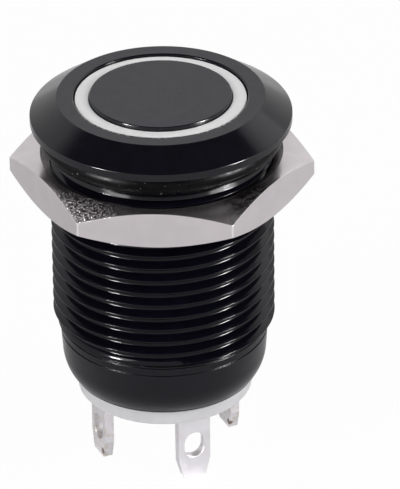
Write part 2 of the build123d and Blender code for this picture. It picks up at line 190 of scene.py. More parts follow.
class Finishes(PropertyGroup):
    """Colours of the finishes"""

    anodised: colour("Anodised black", "Colour of the glossy anodised faces", (0.0029, 0.0027, 0.0060))
    satin: colour("Satin black", "Colour of the satin rim and button face", (0.0152, 0.0147, 0.0215))
    rubber: colour("Rubber", "Colour of the seals", (0.0018, 0.0018, 0.0022))
    nickel: colour("Nickel", "Colour of the plated nut", (0.69, 0.645, 0.665))
    milky: colour("Light ring", "Colour of the light ring's plastic", (0.975, 0.975, 0.975))
    base: colour("Base", "Colour of the terminal base", (0.74, 0.735, 0.755))
    resin: colour("Resin", "Colour of the sealing resin", (0.74, 0.73, 0.70))
    plating: colour("Lug plating", "Colour of the plated lugs", (0.82, 0.80, 0.83))
    brass: colour("Brass", "Colour of the contact bridge", (0.60, 0.42, 0.18))
    silver: colour("Silver", "Colour of the contact tips", (0.80, 0.79, 0.76))
    steel: colour("Spring steel", "Colour of the springs and clip", (0.46, 0.46, 0.47))
    black_plastic: colour("Black plastic", "Colour of the inner mouldings", (0.015, 0.015, 0.016))
    board: colour("Board", "Colour of the circuit board", (0.03, 0.16, 0.06))
    led: colour("LED", "Colour of the LED bodies", (0.75, 0.73, 0.60))
    tin: colour("Tinned wire", "Colour of the LED leads", (0.62, 0.62, 0.63))
    # painted glints: lighter specks where the rim's burred inner edge catches light
    rim_glint: colour("Glint specks", "Colour of the worn specks on the rim", (0.42, 0.40, 0.36))
    dust: colour("Dust", "Colour of the dust on the panel seal", (0.30, 0.28, 0.24))
    pits: colour("Nut pits", "Colour of the pits in the nut's rough bevel", (0.05, 0.045, 0.046))
    # a darker patch on the nut's bevel near its right-front corner
    dark_patch: colour("Nut tarnish", "Colour of the stain on the nut's bevel", (0.07, 0.06, 0.058))
    # painted highlight: a bright line down each upright corner of the nut
    corner_highlight: colour("Nut corners", "Colour of the polished line down each corner", (1.0, 0.99, 0.99))
    stains: colour("Lug stains", "Colour of the stains on the LED lugs", (0.62, 0.54, 0.44))
    flux: colour("Flux", "Colour of the dark spot on the LED lugs", (0.16, 0.11, 0.08))


class StageSettings(PropertyGroup):
    """Floor, light and camera"""

    floor: colour("Floor", "Colour of the floor", (0.80, 0.80, 0.80))
    whiteness: share("Whiteness", "How far the floor is plain white to the camera", 0.97)
    floor_gloss: share("Floor in gloss", "How white the floor near the switch is in reflections", 0.15)
    floor_near: length("Near floor", "Distance at which the floor starts to turn white in reflections", 50)
    floor_far: length("Far floor", "Distance from which the floor is plain white in reflections", 220)
    room: brightness("Room light", "Strength of the even light", 0.50)
    zenith: brightness("Ceiling", "Brightness of the ceiling that gloss shows", 0.11)
    wall_top: share("Wall top", "Sine of the height angle where the white walls start to fade", 0.60)
    ceiling_edge: share("Ceiling edge", "Sine of the height angle where the plain ceiling starts", 0.76)
    strip_left: watts("Left strip", "Left lamp", 0.33)
    strip_right: watts("Right strip", "Right lamp", 0.40)
    glint_left: watts("Left glint", "Narrow left lamp that only gloss shows", 1.5)
    glint_right: watts("Right glint", "Narrow right lamp that only gloss shows", 2.1)
    back_panel: watts("Back panel", "Broad lamp behind that only gloss shows", 0.08)
    lens: FloatProperty(name="Lens", description="Focal length in millimetres", default=418.66, min=1)
    eye: point("Camera place", "Where the camera stands", (0, -265.960, 144.771))
    aim: point("Camera aim", "The point that the camera looks at", (1.988, 0, -7.763))
    roll: angle("Camera roll", "Turn of the camera about its line of sight", -0.716)


# ---------------------------------------------------------------- mesh helpers

def rounded(corners, arc_steps=4):
    """Turn corners (r, z, rounding) into an open profile with arcs, and a guard point next to each arc."""
    room, guard = 0.45, 0.2  # most of a side that an arc may take, and its guard's distance as a share of that
    points = []
    for i, (r, z, rounding) in enumerate(corners):
        here = Vector((r, z))
        if not rounding or i in (0, len(corners) - 1):
            points.append(here)
            continue
        before = Vector(corners[i - 1][:2])
        after = Vector(corners[i + 1][:2])
        a, b = (before - here).normalized(), (after - here).normalized()
        half = a.angle(b) / 2
        cut = rounding / math.tan(half)
        cut = min(cut, room * min((before - here).length, (after - here).length))
        radius = cut * math.tan(half)
        middle = here + (a + b).normalized() * (radius / math.sin(half))
        first, last = here + a * cut, here + b * cut
        points.append(first + a * cut * guard)
        start, stop = first - middle, last - middle
        for step in range(arc_steps + 1):
            turn = start.lerp(stop, step / arc_steps).normalized() * radius
            points.append(middle + turn)
        points.append(last + b * cut * guard)
    return points


def ring_of(bm, radius, height, steps):
    """A ring of points about the axis."""
    angles = [2 * math.pi * i / steps for i in range(steps)]
    return [bm.verts.new((radius * math.cos(a), radius * math.sin(a), height)) for a in angles]


def skin(bm, upper, lower, material=0):
    """Join two rings of the same number of points with faces."""
    count = len(upper)
    for i in range(count):
        j = (i + 1) % count
        bm.faces.new((upper[i], lower[i], lower[j], upper[j])).material_index = material


def finish_mesh(bm, name, weld=TINY):
    """Clean a bmesh, point its faces outward and link it as a smooth object."""
    bmesh.ops.remove_doubles(bm, verts=bm.verts, dist=weld)
    bmesh.ops.recalc_face_normals(bm, faces=bm.faces)
    mesh = bpy.data.meshes.new(name)
    bm.to_mesh(mesh)
    bm.free()
    mesh.shade_smooth()
    piece = bpy.data.objects.new(name, mesh)
    bpy.context.scene.collection.objects.link(piece)
    return piece


def lathe(name, profile, steps, closed=True):
    """Turn a profile about the axis. A point on the axis closes that end."""
    bm = bmesh.new()
    rings = []
    for r, z in profile:
        if r < TINY:
            rings.append([bm.verts.new((0, 0, z))] * steps)
        else:
            rings.append(ring_of(bm, r, z, steps))
    pairs = list(zip(rings, rings[1:]))
    if closed:
        pairs.append((rings[-1], rings[0]))
    for upper, lower in pairs:
        for i in range(steps):
            j = (i + 1) % steps
            corners = list(dict.fromkeys((upper[i], lower[i], lower[j], upper[j])))
            if len(corners) > 2:
                bm.faces.new(corners)
    return finish_mesh(bm, name)


def thread_form(pitch, depth, radius, crest, crest_round, root_round):
    """One turn of the thread as (drop, radius) points, from the middle of one crest to the next."""
    root = pitch / 8
    half = rounded(
        [
            (radius, 0, 0),
            (radius, crest / 2, crest_round),
            (radius - depth, pitch / 2 - root, root_round),
            (radius - depth, pitch / 2, 0),
        ],
        arc_steps=3,
    )
    down = [(p.y, p.x) for p in half]
    up = [(pitch - drop, r) for drop, r in reversed(down)]
    return down + up[1:-1]


def coil(name, radius, wire, turns, bottom, top, sides=10, steps=28):
    """Compression spring with ground flat ends."""
    bm = bmesh.new()
    last = None
    rings = int(turns * steps)
    reach = top - bottom
    rise = reach / (2 * math.pi * radius * turns)
    for i in range(rings + 1):
        turn = 2 * math.pi * turns * i / rings
        out = Vector((math.cos(turn), math.sin(turn), 0))
        along = Vector((-math.sin(turn), math.cos(turn), rise)).normalized()
        up = along.cross(out)
        middle = out * radius + Vector((0, 0, bottom + reach * i / rings))
        ring = []
        for side in range(sides):
            a = 2 * math.pi * side / sides
            point = middle + (out * math.cos(a) + up * math.sin(a)) * wire / 2
            point.z = min(max(point.z, bottom), top)
            ring.append(bm.verts.new(point))
        if last:
            skin(bm, last, ring)
        else:
            bm.faces.new(ring)
        last = ring
    bm.faces.new(list(reversed(last)))
    return finish_mesh(bm, name, weld=TINY / 100)


# ---------------------------------------------------------------- node helpers

def maths(tree, operation, first, second):
    """Combine a socket with a number or another socket."""
    node = tree.nodes.new("ShaderNodeMath")
    node.operation = operation
    tree.links.new(first, node.inputs[0])
    if isinstance(second, float):
        node.inputs[1].default_value = second
    else:
        tree.links.new(second, node.inputs[1])
    return node.outputs["Value"]


def map_range(tree, fac, low, high, start, stop, smooth=False):
    """Map a socket from start..stop to low..high."""
    node = tree.nodes.new("ShaderNodeMapRange")
    node.interpolation_type = "SMOOTHSTEP" if smooth else "LINEAR"
    for key, value in (("From Min", start), ("From Max", stop), ("To Min", low), ("To Max", high)):
        node.inputs[key].default_value = value
    tree.links.new(fac, node.inputs["Value"])
    return node.outputs["Result"]


def blend(tree, output, *sources):
    """Send a factor's blend of two shaders to an output node."""
    mix = tree.nodes.new("ShaderNodeMixShader")
    for source, socket in zip(sources, mix.inputs):
        tree.links.new(source, socket)
    tree.links.new(mix.outputs["Shader"], output.inputs["Surface"])


# ---------------------------------------------------------------- finish helpers

class Finish:
    """A material whose shader, coordinates in millimetres and texture nodes are added one by one."""

    def __init__(self, name, rgb, roughness, metallic=0.0, ior=1.45):
        self.material = bpy.data.materials.new(name)
        self.material.use_nodes = True
        self.tree = self.material.node_tree
        self.nodes, self.links = self.tree.nodes, self.tree.links
        self.nodes.clear()
        output = self.nodes.new("ShaderNodeOutputMaterial")
        self.shader = self.nodes.new("ShaderNodeBsdfPrincipled")
        self.links.new(self.shader.outputs["BSDF"], output.inputs["Surface"])
        values = {"Base Color": (*rgb, 1), "Roughness": roughness, "Metallic": metallic, "IOR": ior}
        for key, value in values.items():
            self.shader.inputs[key].default_value = value
        self.rgb = rgb
        place = self.nodes.new("ShaderNodeTexCoord")
        self.scale = self.nodes.new("ShaderNodeMapping")
        self.scale.inputs["Scale"].default_value = (1 / MM, 1 / MM, 1 / MM)
        self.links.new(place.outputs["Object"], self.scale.inputs["Vector"])
        self.bumps = None

    def noise(self, per_mm, detail=3.0, stretch=None):
        """Noise with a number of features to the millimetre, stretched along an axis if wanted."""
        node = self.nodes.new("ShaderNodeTexNoise")
        node.inputs["Scale"].default_value = per_mm
        node.inputs["Detail"].default_value = detail
        source = self.scale.outputs["Vector"]
        if stretch:
            more = self.nodes.new("ShaderNodeMapping")
            more.inputs["Scale"].default_value = stretch
            self.links.new(source, more.inputs["Vector"])
            source = more.outputs["Vector"]
        self.links.new(source, node.inputs["Vector"])
        return node.outputs["Fac"]

    def along(self, axis):
        """Position along X, Y or Z in millimetres."""
        split = self.nodes.new("ShaderNodeSeparateXYZ")
        self.links.new(self.scale.outputs["Vector"], split.inputs["Vector"])
        return split.outputs[axis]

    def from_axis(self):
        """Distance from the switch's axis in millimetres."""
        flat = self.nodes.new("ShaderNodeVectorMath")
        flat.operation = "MULTIPLY"
        flat.inputs[1].default_value = (1, 1, 0)
        self.links.new(self.scale.outputs["Vector"], flat.inputs[0])
        out = self.nodes.new("ShaderNodeVectorMath")
        out.operation = "LENGTH"
        self.links.new(flat.outputs["Vector"], out.inputs[0])
        return out.outputs["Value"]

    def near(self, spot, radius):
        """One round a spot given in millimetres, falling to nothing over the last 0.4 of a radius."""
        away = self.nodes.new("ShaderNodeVectorMath")
        away.operation = "DISTANCE"
        away.inputs[1].default_value = spot
        self.links.new(self.scale.outputs["Vector"], away.inputs[0])
        return self.spread(away.outputs["Value"], 1, 0, radius * 0.6, radius)

    def both(self, first, second):
        """Product of two factors."""
        return maths(self.tree, "MULTIPLY", first, second)

    def turned(self, per_mm):
        """Fine rings left by turning: noise over the distance from the axis and the height."""
        ring = self.nodes.new("ShaderNodeCombineXYZ")
        self.links.new(self.from_axis(), ring.inputs["X"])
        self.links.new(self.along("Z"), ring.inputs["Z"])
        node = self.nodes.new("ShaderNodeTexNoise")
        node.inputs["Scale"].default_value = per_mm
        node.inputs["Detail"].default_value = 4
        self.links.new(ring.outputs["Vector"], node.inputs["Vector"])
        return node.outputs["Fac"]

    def spread(self, fac, low, high, start=0.35, stop=0.65):
        """Map a factor from start..stop, by default the middle of a noise, to low..high."""
        return map_range(self.tree, fac, low, high, start, stop)

    def clouds(self, per_mm, detail, low, high):
        """Clouds in the colour, from a low to a high multiple of it."""
        mix = self.nodes.new("ShaderNodeMix")
        mix.data_type = "RGBA"
        mix.inputs[COLOUR_A].default_value = (*[c * low for c in self.rgb], 1)
        mix.inputs[COLOUR_B].default_value = (*[c * high for c in self.rgb], 1)
        self.links.new(self.spread(self.noise(per_mm, detail), 0, 1), mix.inputs[0])
        self.links.new(mix.outputs[COLOUR_OUT], self.shader.inputs["Base Color"])

    def overlay(self, fac, rgb):
        """Lay a second colour over what feeds the base colour."""
        below = self.shader.inputs["Base Color"]
        mix = self.nodes.new("ShaderNodeMix")
        mix.data_type = "RGBA"
        mix.inputs[COLOUR_A].default_value = below.default_value
        if below.links:
            self.links.new(below.links[0].from_socket, mix.inputs[COLOUR_A])
        mix.inputs[COLOUR_B].default_value = (*rgb, 1)
        self.links.new(fac, mix.inputs[0])
        self.links.new(mix.outputs[COLOUR_OUT], below)

    def gloss(self, per_mm, detail, low, high):
        """Clouds in the roughness, from low to high."""
        fac = self.spread(self.noise(per_mm, detail), low, high)
        self.links.new(fac, self.shader.inputs["Roughness"])

    def translucent(self, weight, reach_mm):
        """Let light of every colour into the plastic, as deep as a reach."""
        self.shader.inputs["Subsurface Weight"].default_value = weight
        self.shader.inputs["Subsurface Radius"].default_value = (1, 1, 1)
        self.shader.inputs["Subsurface Scale"].default_value = reach_mm * MM

    def bump(self, fac, depth_mm):
        """Relief of a depth over the reliefs added before."""
        node = self.nodes.new("ShaderNodeBump")
        node.inputs["Distance"].default_value = depth_mm * MM
        self.links.new(fac, node.inputs["Height"])
        if self.bumps:
            self.links.new(self.bumps, node.inputs["Normal"])
        self.bumps = node.outputs["Normal"]
        self.links.new(self.bumps, self.shader.inputs["Normal"])


def settings():
    """The switch's groups of settings."""
    return bpy.context.scene.push_switch


def dress(piece, *materials):
    """Give a piece or a CAD node its materials."""
    slots = piece.data.materials
    for index, material in enumerate(materials):
        if index < len(slots):
            slots[index] = material
        else:
            slots.append(material)


def soften(node, width_mm, flat=math.radians(0.5), sharp=math.radians(35)):
    """Round a piece's sharp edges with modifiers, leaving its mesh as it is."""
    weld = node.modifiers.new("Join seams", "WELD")
    weld.merge_threshold = TINY
    flats = node.modifiers.new("Merge flats", "DECIMATE")
    flats.decimate_type = "DISSOLVE"
    flats.angle_limit = flat
    edges = node.modifiers.new("Round edges", "BEVEL")
    edges.width = width_mm * MM
    edges.segments = 2
    edges.limit_method = "ANGLE"
    edges.angle_limit = sharp
    edges.harden_normals = True


def anodised(name, roughness, grain_mm, rings_mm, ior=1.42, satin=False):
    """Black anodised metal: turning rings under a blasted grain, faint wear in colour and gloss."""
    finishes = settings().finishes
    look = Finish(name, finishes.satin if satin else finishes.anodised, roughness, ior=ior)
    look.clouds(1.2, 4, 0.85, 1.25)
    look.gloss(2.5, 5, roughness * 0.85, roughness * 1.15)
    look.bump(look.turned(9), rings_mm)
    if grain_mm:
        look.bump(look.noise(28, detail=2), grain_mm)
    return look


# ---------------------------------------------------------------- the switch's pieces

class SWITCH_OT_body(Operator):
    """Turned body with its true helical thread"""

    bl_idname = "switch.body"
    bl_label = "Threaded body"

    def execute(self, context):
        s = settings().body
        low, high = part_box("body_shell")
        top, end, head_r = high.z, low.z, high.x
        e = s.edge_round
        fine, half = e * 0.4, e * 0.5
        brow = 0.06  # share of the lead-in cone that turns over into the first crest
        thread_top, thread_bottom = -s.neck_h - s.lead_top, -s.thread_end
        tail = rounded([
            (s.tail_r, thread_bottom, 0),
            *self.groove(s, -thread_bottom)[1:],
            *self.groove(s, s.groove_top),
            (s.tail_low_r, -s.roll_top, 0),
        ])
        lean = math.atan((s.tail_r - s.tail_low_r) / (s.roll_top - s.groove_top - s.groove_w))
        tail += self.roll((s.tail_low_r, -s.roll_top), (s.roll_r, end + e), lean)
        shell = rounded([
            (s.roll_r, end + e, 0),
            (s.roll_r, end, e),
            (s.lip_r, end, e),
            (s.bore_r, -s.lip_top, 0),
            (s.bore_r, -s.bezel_land, 0),
            (s.bezel_r, -s.bezel_land, 0),
            (s.bezel_r, top - s.bezel_chamfer, fine),
            (s.bezel_r + s.bezel_flare, top, fine),
            (s.rim_r, top, e),
            (head_r, s.band_h, e),
            (head_r, s.band_chamfer, half),
            (head_r - s.band_chamfer, 0, half),
            (s.neck_r, 0, 0),
            (s.neck_r, -s.neck_h, 0),
            (s.thread_r - s.lead_step, -s.neck_h, e * 0.6),
            (s.thread_r - s.lead_step * brow, thread_top + s.lead_top * brow, 0),
            (s.thread_r, thread_top, 0),
        ])
        flat = next(i for i, (r, z) in enumerate(shell) if z > top - TINY)
        outside = next(i for i, (r, z) in enumerate(shell) if r > s.rim_r - e)
        rim, bevel, turned, foot = range(4)  # the order of the finishes below
        bm = bmesh.new()
        self.thread(bm, s, thread_top, thread_bottom, turned)
        for profile, material in (
            (shell[: flat + 1], bevel),
            (shell[flat : outside + 1], rim),
            (shell[outside:], bevel),
            (tail, foot),
        ):
            rings = [ring_of(bm, r, z, s.steps) for r, z in profile]
            for a, b in zip(rings, rings[1:]):
                skin(bm, a, b, material)
        piece = finish_mesh(bm, "threaded_body")
        dress(
            piece,
            self.painted_glint(s, anodised("Anodised rim", 0.25, 0.0006, 0.0004, satin=True)),
            anodised("Anodised bevel", 0.13, 0.0001, 0.0002).material,
            anodised("Anodised thread", 0.11, 0.0006, 0.0004, ior=1.30).material,
            anodised("Anodised tail", 0.22, 0.0003, 0.0003, ior=1.35).material,
        )
        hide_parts("body_shell")
        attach(piece, "switch_body")
        return {"FINISHED"}

    @staticmethod
    def painted_glint(s, look):
        """Painted glints: lighter specks at the front of the rim, just outside its inner edge, where the
        edge's burr catches light.
        """
        edge = (s.bezel_r + s.bezel_flare) / MM
        # painted glints, kept to the front of the rim's inner edge
        band = look.spread(look.from_axis(), 1, 0, edge + 0.05, edge + 0.11)
        front = look.spread(look.along("Y"), 1, 0, -3.6, -2.2)
        specks = look.spread(look.noise(4, detail=4), 0, 0.9, 0.50, 0.60)
        look.overlay(look.both(look.both(band, front), specks), settings().finishes.rim_glint)
        return look.material

    @staticmethod
    def groove(s, top):
        """Corners of a fine groove turned in the tail, its top the given depth below the head."""
        bottom, foot, e = top + s.groove_w, s.tail_r - s.groove_depth, s.groove_depth * 0.35
        return [(s.tail_r, -top, e), (foot, -top - e, e), (foot, -bottom + e, e), (s.tail_r, -bottom, e)]

    @staticmethod
    def roll(start, stop, lean, count=14):
        """Arc of the rolled end, which starts at the lean of the tail's taper."""
        (r0, z0), (r1, z1) = start, stop
        width, height = r0 - r1, z0 - z1
        sweep = 2 * (math.atan2(width, height) - lean)
        radius = math.hypot(width, height) / (2 * math.sin(sweep / 2))
        points = []
        for i in range(1, count + 1):
            a = lean + sweep * i / count
            inward = radius * (math.cos(lean) - math.cos(a))
            down = radius * (math.sin(a) - math.sin(lean))
            points.append(Vector((r0 - inward, z0 - down)))
        return points

    @staticmethod
    def thread(bm, s, top, bottom, material):
        """Helical rows of points, held between the thread's two chamfered ends."""
        form = thread_form(s.pitch, s.thread_depth, s.thread_r, s.crest, s.crest_round, s.root_round)
        rows = len(form)
        turns = math.ceil((top - bottom) / s.pitch) + 2
        grid = []
        for turn in range(turns):
            for drop, radius in form:
                row = []
                for i in range(s.steps):
                    around = 2 * math.pi * i / s.steps
                    height = top + s.pitch * (1 - turn + (around - s.thread_start) / (2 * math.pi)) - drop
                    height = min(max(height, bottom), top)
                    run_out = s.tail_r + (height - bottom) * (s.thread_r - s.tail_r) / s.lead_in
                    r = s.thread_r if height == top else min(radius, run_out)
                    row.append(bm.verts.new((r * math.cos(around), r * math.sin(around), height)))
                grid.append(row)
        for j in range(len(grid) - 1):
            for i in range(s.steps):
                if i < s.steps - 1:
                    right_upper, right_lower = grid[j][i + 1], grid[j + 1][i + 1]
                else:
                    right_upper, right_lower = grid[max(0, j - rows)][0], grid[max(0, j + 1 - rows)][0]
                corners = list(dict.fromkeys((grid[j][i], grid[j + 1][i], right_lower, right_upper)))
                if len(corners) > 2:
                    bm.faces.new(corners).material_index = material


class SWITCH_OT_seal(Operator):
    """Rubber ring under the head, and the small ring behind the button"""

    bl_idname = "switch.seal"
    bl_label = "Rubber seals"

    def execute(self, context):
        s = settings().fittings
        low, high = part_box("panel_seal")
        middle, thick = (low.z + high.z) / 2, s.seal_d / 2
        angles = [2 * math.pi * i / SEAL_SIDES for i in range(SEAL_SIDES)]
        profile = [(s.seal_r + thick * math.cos(a), middle + thick * math.sin(a)) for a in angles]
        piece = lathe("panel_seal_ring", profile, LATHE_STEPS)
        finishes = settings().finishes
        look = Finish("Seal rubber", finishes.rubber, 0.28, ior=1.16)
        look.gloss(2.2, 5, 0.24, 0.42)
        look.bump(look.noise(1.1, detail=2), 0.004)
        look.bump(look.noise(16, detail=3), 0.0014)
        look.overlay(look.spread(look.noise(7.5, detail=2), 0, 1, 0.70, 0.74), finishes.dust)
        dress(piece, look.material)
        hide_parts("panel_seal")
        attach(piece, "switch_body")
        dress(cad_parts["button_seal"], look.material)
        return {"FINISHED"}


class SWITCH_OT_nut(Operator):
    """Plated hexagon nut"""

    bl_idname = "switch.nut"
    bl_label = "Hexagon nut"

    def execute(self, context):
        s = settings().fittings
        low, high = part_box("hex_nut")
        top, bottom = high.z, low.z
        flat = nut_flat()
        slope = math.tan(s.nut_slope)
        e = s.nut_edge
        sink = (s.nut_sink_r - s.nut_bore_r) * slope
        # degrees from a corner, closest together next to it
        fan = [0, 0.12, 0.25, 0.4, 0.6, 0.9, 1.4, 2.5, 5, 8, 11, 15, 19, 22, 25, 28]
        offsets = sorted({sign * a for a in fan for sign in (-1, 1)} | {30})
        around = [s.nut_turn + math.radians(60 * k + a) for k in range(6) for a in offsets]
        reach = [self.reach(math.radians(a), flat, s.nut_corner) for _ in range(6) for a in offsets]

        def cone(r):
            return max(0, r - flat) * slope

        def half_section(far):
            """Radius and depth below the face, from the bore out to the flat and down its rounded edge."""
            return (
                (s.nut_bore_r, sink),
                (s.nut_bore_r + e, sink - e * slope),
                (s.nut_sink_r - e, e * slope),
                (s.nut_sink_r, 0),
                (s.nut_sink_r + e, 0),
                (far - 4 * e, cone(far - 4 * e)),
                (far - 2 * e, cone(far - 2 * e)),
                (far - 0.9 * e, cone(far - 0.9 * e) + 0.02 * e),
                (far - 0.25 * e, cone(far) + 0.30 * e),
                (far, cone(far) + e),
                (far, cone(far) + 1.6 * e),
            )

        sections = [half_section(far) for far in reach]
        bm = bmesh.new()
        rings = []
        for face, way in ((top, -1), (bottom, 1)):
            half = []
            for row in zip(*sections):
                half.append([
                    bm.verts.new((r * math.cos(a), r * math.sin(a), face + way * depth))
                    for a, (r, depth) in zip(around, row)
                ])
            rings += half if way < 0 else reversed(half)
        for a, b in zip(rings, rings[1:] + rings[:1]):
            skin(bm, a, b)
        piece = finish_mesh(bm, "plated_nut")
        dress(piece, self.plate(flat))
        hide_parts("hex_nut")
        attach(piece, "nut")
        return {"FINISHED"}

    @staticmethod
    def reach(turn, flat, corner):
        """Distance from the axis to the rounded hexagon, at an angle from one corner."""
        turn = abs(turn)
        centre = (flat - corner) / math.cos(HALF_SIDE)
        last = math.atan2(corner * math.sin(HALF_SIDE), centre + corner * math.cos(HALF_SIDE))
        if turn < last:
            return centre * math.cos(turn) + math.sqrt(corner ** 2 - (centre * math.sin(turn)) ** 2)
        return flat / math.cos(HALF_SIDE - turn)

    @staticmethod
    def plate(flat):
        """Nickel, blasted on the bevels, rough and pitted at one corner and darker at the next, with a painted
        highlight down each upright corner.
        """
        f = settings().finishes
        look = Finish("Nickel plate", f.nickel, 0.26, metallic=1.0)
        look.clouds(0.9, 4, 0.97, 1.03)
        look.gloss(12, 3, 0.22, 0.27)
        look.bump(look.noise(9, detail=3, stretch=(1, 1, 5)), 0.0008)
        facing = look.nodes.new("ShaderNodeNewGeometry")
        up = look.nodes.new("ShaderNodeSeparateXYZ")
        look.links.new(facing.outputs["Normal"], up.inputs["Vector"])
        on_bevel = look.spread(up.outputs["Z"], 0, 1, 0.55, 0.75)
        left = look.spread(look.along("X"), 1, 0.12, -3.0, -1.4)
        front = look.spread(look.along("Y"), 1, 0, -5.2, -3.9)
        rough = look.both(on_bevel, look.both(left, front))
        look.bump(look.both(rough, look.noise(9, detail=3)), 0.100)
        pits = look.spread(look.noise(8, detail=4), 0, 0.9, 0.47, 0.57)
        look.overlay(look.both(rough, pits), f.pits)
        # darker patch on the bevel near the right-front corner, broken up by noise
        patch = look.both(on_bevel, look.near((4.7, -5.3, -2.0), 1.8))
        dark_patch = look.spread(look.noise(5, detail=5), 0.5, 1, 0.42, 0.56)
        look.overlay(look.both(patch, dark_patch), f.dark_patch)
        # painted highlight down each upright corner
        corner = flat / math.cos(HALF_SIDE) / MM
        look.overlay(look.spread(look.from_axis(), 0, 0.6, corner - 0.040, corner - 0.028), f.corner_highlight)
        gloss = look.shader.inputs["Roughness"]
        blasted = look.nodes.new("ShaderNodeMix")
        blasted.inputs[NUMBER_B].default_value = 0.27
        look.links.new(on_bevel, blasted.inputs[0])
        look.links.new(gloss.links[0].from_socket, blasted.inputs[NUMBER_A])
        look.links.new(blasted.outputs[0], gloss)
        return look.material


def nut_flat():
    """Half the distance across the nut's flats, from the CAD nut's corner box."""
    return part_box("hex_nut")[1].x / math.cos(settings().fittings.nut_turn) * math.cos(HALF_SIDE)


class SWITCH_OT_button(Operator):
    """Button cap and the lit ring round it"""

    bl_idname = "switch.button"
    bl_label = "Button and light ring"

    def execute(self, context):
        s = settings().fittings
        low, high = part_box("button_cap")
        inner, roof = high.x - s.cap_wall, high.z - s.cap_wall
        profile = rounded([
            (0, high.z, 0),
            (high.x / 2, high.z, 0),
            (high.x, high.z, s.cap_round),
            (high.x, low.z, s.cap_round),
            (inner, low.z, s.cap_round),
            (inner, roof, 0),
            (0, roof, 0),
        ])
        piece = lathe("button", profile, LATHE_STEPS, closed=False)
        dress(
            piece,
            anodised("Anodised button", 0.25, 0.0006, 0.0002, satin=True).material,
            anodised("Anodised button side", 0.13, 0, 0.0002).material,
        )
        level = 0.97  # least Z of the normal of a face that belongs to the top
        for face in piece.data.polygons:
            face.material_index = 0 if face.normal.z > level else 1
        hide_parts("button_cap")
        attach(piece, "button")
        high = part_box("light_ring")[1]
        ring = bpy.data.objects.new("lit_ring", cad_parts["light_ring"].data.copy())
        bpy.context.collection.objects.link(ring)
        # the lowest points that belong to the ring's top and to its edges
        head, edge = high.z - 0.3 * MM, high.z - 0.01 * MM
        for corner in ring.data.vertices:
            if corner.co.z > head:
                flat = corner.co.xy
                if corner.co.z > edge and flat.length > s.ring_middle:
                    corner.co.xy = flat * (s.ring_outer / flat.length)
                corner.co.z -= s.ring_drop
        look = Finish("Milky plastic", settings().finishes.milky, 0.38, ior=1.49)
        look.translucent(0.15, 0.4)
        look.clouds(1.3, 4, 0.97, 1.02)
        look.gloss(4, 4, 0.30, 0.44)
        look.bump(look.noise(18, detail=3), 0.0010)
        dress(ring, look.material)
        soften(ring, 0.04)
        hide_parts("light_ring")
        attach(ring, "switch_body")
        return {"FINISHED"}


class SWITCH_OT_springs(Operator):
    """Return spring and contact spring, each attached to the body that carries it"""

    bl_idname = "switch.springs"
    bl_label = "Springs"

    def execute(self, context):
        s = settings().fittings
        look = Finish("Spring wire", settings().finishes.steel, 0.24, metallic=1.0)
        look.clouds(2, 4, 0.85, 1.08)
        look.gloss(6, 4, 0.18, 0.36)
        look.bump(look.noise(20, detail=2, stretch=(1, 1, 4)), 0.0010)
        for node, body, joint, wire, turns in (
            ("return_spring", "switch_body", "button_press", s.spring_wire, s.spring_turns),
            ("contact_spring", "button", "contact_lift", s.contact_wire, s.contact_turns),
        ):
            low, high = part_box(node)
            piece = coil(f"{node}_coil", high.x - wire / 2, wire, turns, low.z, high.z)
            dress(piece, look.material)
            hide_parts(node)
            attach(piece, body)
            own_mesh(piece)
        dress(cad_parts["retaining_clip"], look.material)
        soften(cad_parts["retaining_clip"], 0.02)
        return {"FINISHED"}


class SWITCH_OT_base(Operator):
    """White terminal base, sealing resin and plated lugs"""

    bl_idname = "switch.base"
    bl_label = "Base and lugs"

    def execute(self, context):
        f = settings().finishes
        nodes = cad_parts
        look = Finish("White moulding", f.base, 0.42, ior=1.48)
        look.translucent(0.15, 0.3)
        look.clouds(0.8, 4, 0.96, 1.03)
        look.gloss(3, 4, 0.36, 0.50)
        look.bump(look.noise(14, detail=3), 0.0015)
        dress(nodes["terminal_base"], look.material)
        soften(nodes["terminal_base"], 0.05)
        look = Finish("Sealing resin", f.resin, 0.22, ior=1.52)
        look.clouds(0.7, 4, 0.94, 1.04)
        look.gloss(2, 3, 0.16, 0.32)
        look.bump(look.noise(1.4, detail=3), 0.030)
        dress(nodes["sealing_resin"], look.material)
        for name in ("common", "normally_open", "led_plus", "led_minus"):
            node = nodes[f"{name}_terminal"]
            dress(node, self.plated(name))
            soften(node, 0.03)
        return {"FINISHED"}

    @staticmethod
    def plated(name):
        """Tinned strip with a faint drawn grain. The two LED lugs are stained, with flux at one corner."""
        f = settings().finishes
        look = Finish(f"Lug plating {name}", f.plating, 0.24, metallic=1.0)
        look.clouds(1.1, 5, 0.97, 1.01)
        look.gloss(3, 5, 0.30, 0.38)
        look.bump(look.noise(6, detail=3, stretch=(1, 1, 0.25)), 0.0008)
        if name.startswith("led"):
            low, high = (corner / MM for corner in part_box(f"{name}_terminal"))
            foot = look.spread(look.along("Z"), 1, 0, low.z + 1.2, low.z + 3.6)
            stains = look.spread(look.noise(3.2, detail=4), 0, 0.55, 0.50, 0.62)
            look.overlay(look.both(foot, stains), f.stains)
            across = 0.45 if low.x + high.x < 0 else 0.55
            spot = (low.x + across * (high.x - low.x), low.y + 0.30, low.z + 0.38)
            look.overlay(look.near(spot, 0.22), f.flux)
        return look.material


